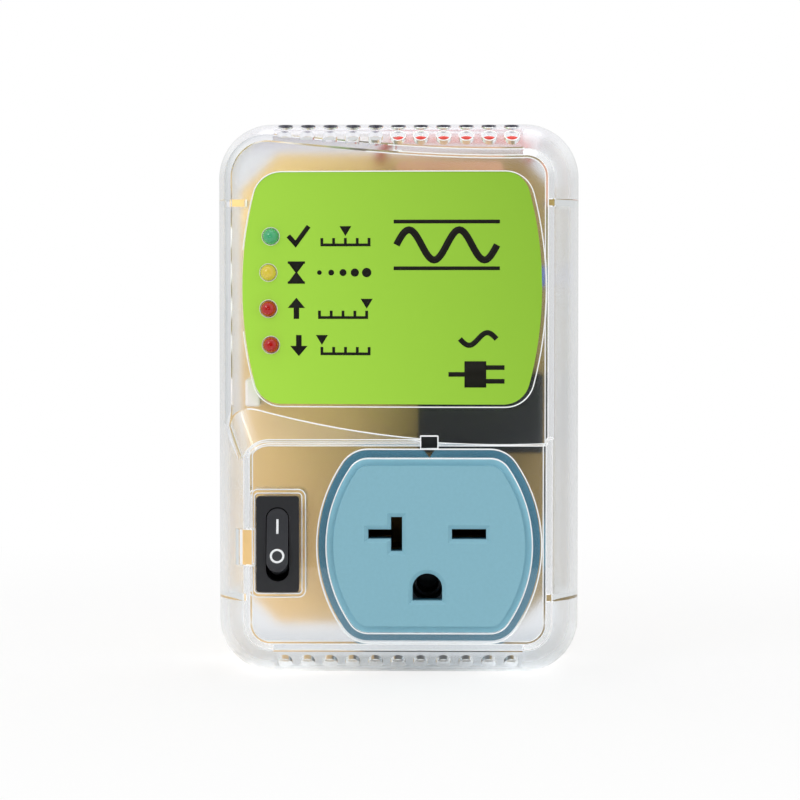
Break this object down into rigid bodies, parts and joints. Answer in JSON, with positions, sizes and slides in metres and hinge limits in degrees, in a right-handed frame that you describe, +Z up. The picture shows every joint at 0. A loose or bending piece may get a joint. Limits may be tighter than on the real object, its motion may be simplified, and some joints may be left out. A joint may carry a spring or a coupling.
{
  "type": "appliance voltage protector",
  "caption": "Plug-in voltage protector in a clear rounded case, with a grounded outlet, a rocker switch and status lamps on the front and a grounded plug on the back.",
  "frame": {"origin": "middle of the case's flat rear face, which lies against the wall", "axes": "+Z up the wall, +X to the right as seen from the front, +Y into the wall; the front looks along -Y"},
  "size_m": [0.08, 0.0724, 0.122],
  "materials": {
    "clear_polycarbonate": "clear, polished",
    "label_film": "printed film, satin",
    "blue_nylon": "satin",
    "dark_blue_nylon": "satin",
    "switch_black": "satin",
    "brass_contact": "rolled",
    "plated_brass": "nickel plated, drawn",
    "copper_lever": "rolled copper",
    "spring_steel": "zinc plated",
    "white_nylon": "satin",
    "green_lens": "tinted epoxy",
    "amber_lens": "tinted epoxy",
    "red_lens": "tinted epoxy",
    "tinned_wire": "tinned",
    "phenolic_board": "pressed paper laminate",
    "relay_black": "satin",
    "coil_enamel": "wound enamelled wire",
    "soft_iron": "zinc plated",
    "film_red": "dipped",
    "can_sleeve": "shrink sleeve",
    "varistor_blue": "dipped epoxy",
    "black_epoxy": "moulded",
    "resistor_tan": "lacquer",
    "resistor_blue": "lacquer",
    "solder": "bright",
    "white_wire": "insulated",
    "black_wire": "insulated",
    "red_wire": "insulated",
    "hot_glue": "set glue"
  },
  "bodies": {
    "unit": {"front_cover": "clear_polycarbonate", "rear_cover": "clear_polycarbonate", "label_panel": "label_film", "receptacle_face": "blue_nylon", "receptacle_base": "dark_blue_nylon", "tee_contact": "brass_contact", "flat_contact": "brass_contact", "ground_contact": "brass_contact", "ground_strap": "brass_contact", "switch_housing": "switch_black", "switch_terminals": "brass_contact", "led_green": "green_lens", "led_amber": "amber_lens", "led_red_high": "red_lens", "led_red_low": "red_lens", "led_leads": "tinned_wire", "led_spacers": "white_nylon", "circuit_board": "phenolic_board", "relay_case": "relay_black", "relay_base": "relay_black", "relay_coil": "coil_enamel", "relay_yoke": "soft_iron", "relay_contacts": "brass_contact", "film_capacitor": "film_red", "storage_capacitor": "can_sleeve", "filter_capacitor": "can_sleeve", "varistor": "varistor_blue", "bridge_diodes": "black_epoxy", "resistors": "resistor_tan", "power_resistor": "resistor_blue", "controller_chip": "black_epoxy", "transistor": "black_epoxy", "solder_joints": "solder", "plug_base": "white_nylon", "plug_blade_upright": "plated_brass", "plug_blade_flat": "plated_brass", "plug_ground_pin": "plated_brass", "plug_retainer": "black_epoxy", "plug_screws": "spring_steel", "line_wire": "black_wire", "return_wire": "white_wire", "switch_wires": "red_wire", "glue_dab": "hot_glue"},
    "rocker": {"switch_rocker": "switch_black", "switch_plunger": "white_nylon", "switch_spring": "spring_steel"},
    "lever": {"switch_lever": "copper_lever"},
    "armature": {"relay_armature": "soft_iron"}
  },
  "joints": [
    {"name": "rocker_tilt", "type": "hinge", "parent": "unit", "child": "rocker", "pos_m": [-0.0263, -0.0456, -0.0314], "axis": [1, 0, 0], "range_deg": [0, 24]},
    {"name": "lever_tilt", "type": "hinge", "parent": "unit", "child": "lever", "pos_m": [-0.0263, -0.0374, -0.0314], "axis": [1, 0, 0], "range_deg": [-12, 0]},
    {"name": "armature_pull", "type": "hinge", "parent": "unit", "child": "armature", "pos_m": [0.00655, -0.02965, -0.0031], "axis": [0, 0, 1], "range_deg": [0, 3], "stiffness_Nm_per_rad": 0.002, "springref_deg": -1.15}
  ],
  "couplings": [
    {"joint": "lever_tilt", "follows": "rocker_tilt", "ratio": -0.5}
  ]
}
